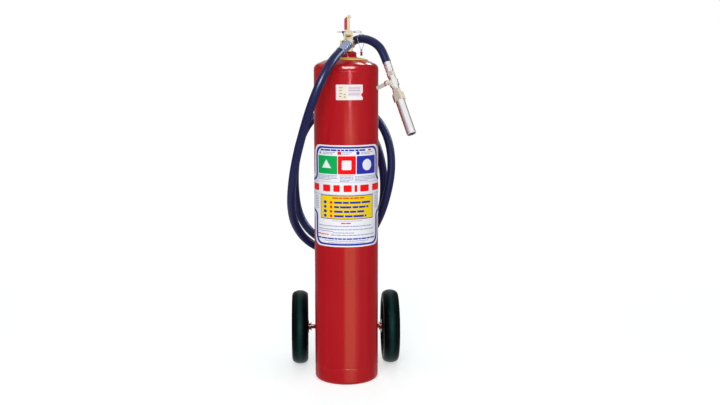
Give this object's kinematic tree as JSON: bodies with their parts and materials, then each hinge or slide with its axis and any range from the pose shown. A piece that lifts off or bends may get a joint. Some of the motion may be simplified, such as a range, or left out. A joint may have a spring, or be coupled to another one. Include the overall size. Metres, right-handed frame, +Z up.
{
  "type": "wheeled fire extinguisher",
  "caption": "Tall red steel cylinder on two wheels with a brass lever valve on top and a long coiled hose that ends in a ball valve and a straight nozzle.",
  "frame": {"origin": "on the floor, in the middle of the footprint of the cylinder and the two wheels", "axes": "+X to the right seen from the front, +Y to the back where the wheels are, +Z up along the cylinder"},
  "size_m": [0.4487, 0.5256, 1.3153],
  "materials": {
    "red paint": "gloss",
    "yellow collar": "satin",
    "brass": "satin",
    "nickel": "satin",
    "zinc steel": "satin",
    "crimped steel": "satin",
    "aluminium": "satin",
    "tyre rubber": "matte",
    "wheel paint": "satin",
    "bush plastic": "matte",
    "hose rubber": "gloss",
    "black steel": "satin",
    "grip rubber": "matte",
    "red plastic": "gloss",
    "blue plastic": "gloss",
    "seal rubber": "matte",
    "white seal": "matte",
    "dip tube plastic": "matte"
  },
  "bodies": {
    "cylinder": {"adapter_nut": "brass", "axle": "red paint", "axle_bracket_left": "black steel", "axle_bracket_right": "black steel", "axle_washers": "zinc steel", "ball_seats": "white seal", "ball_valve_body": "nickel", "barrel": "red paint", "base_skirt": "red paint", "bonnet": "brass", "bottom_head": "red paint", "burst_plug": "brass", "carriage_plate": "black steel", "coupling_nut": "brass", "dip_tube": "dip tube plastic", "handle_frame": "black steel", "handle_grip": "grip rubber", "hose": "hose rubber", "hose_guide": "black steel", "hose_saddle": "black steel", "hose_tail": "aluminium", "lever_pin": "zinc steel", "neck_boss": "red paint", "neck_gasket": "seal rubber", "nozzle_body": "brass", "nozzle_tube": "aluminium", "outlet_elbow": "zinc steel", "packing_nut": "brass", "rack_bracket": "black steel", "rack_screws": "zinc steel", "service_collar": "yellow collar", "split_pins": "zinc steel", "spring_retainer": "zinc steel", "stem_spring": "zinc steel", "tamper_seal": "blue plastic", "top_head": "red paint", "valve_body": "brass", "valve_ferrule": "crimped steel"},
    "wheel_left": {"tyre_left": "tyre rubber", "wheel_rim_left": "wheel paint", "wheel_web_left": "wheel paint", "wheel_hub_left": "wheel paint", "wheel_bush_left": "bush plastic"},
    "wheel_right": {"tyre_right": "tyre rubber", "wheel_rim_right": "wheel paint", "wheel_web_right": "wheel paint", "wheel_hub_right": "wheel paint", "wheel_bush_right": "bush plastic"},
    "lever": {"lever": "brass", "lever_grip": "red plastic"},
    "stem": {"stem": "brass", "stem_seal": "seal rubber"},
    "safety_pin": {"safety_pin": "zinc steel", "pull_ring": "zinc steel"},
    "ball": {"ball": "nickel", "ball_stem": "nickel", "ball_lever": "nickel", "lever_nut": "nickel"},
    "tag": {"wire_loop": "zinc steel", "red_tag": "red plastic"}
  },
  "joints": [
    {"name": "wheel_left_spin", "type": "hinge", "parent": "cylinder", "child": "wheel_left", "pos_m": [-0.1725, 0.0795, 0.14], "axis": [1, 0, 0], "continuous": true},
    {"name": "wheel_right_spin", "type": "hinge", "parent": "cylinder", "child": "wheel_right", "pos_m": [0.1725, 0.0795, 0.14], "axis": [1, 0, 0], "continuous": true},
    {"name": "lever_pivot", "type": "hinge", "parent": "cylinder", "child": "lever", "pos_m": [0.008, -0.1045, 1.24527], "axis": [1, 0, 0], "range_deg": [0, 80]},
    {"name": "stem_slide", "type": "slide", "parent": "cylinder", "child": "stem", "axis": [0, 0, -1], "range_m": [0, 0.0056], "stiffness_N_per_m": 300, "springref_m": -0.005, "deforming": ["stem_spring"]},
    {"name": "safety_pin_pull", "type": "slide", "parent": "cylinder", "child": "safety_pin", "axis": [1, 0, 0], "range_m": [0, 0.06]},
    {"name": "ball_turn", "type": "hinge", "parent": "cylinder", "child": "ball", "pos_m": [0.16342, -0.19872, 1.07928], "axis": [-0.8, -0.5995, 0.025], "range_deg": [0, 90]},
    {"name": "tag_swing", "type": "hinge", "parent": "cylinder", "child": "tag", "pos_m": [0.0565, -0.0535, 1.232], "axis": [0.5269, -0.8499, 0], "range_deg": [0, 25]}
  ],
  "couplings": [
    {"joint": "stem_slide", "follows": "lever_pivot", "m_per_rad": 0.0039391}
  ]
}
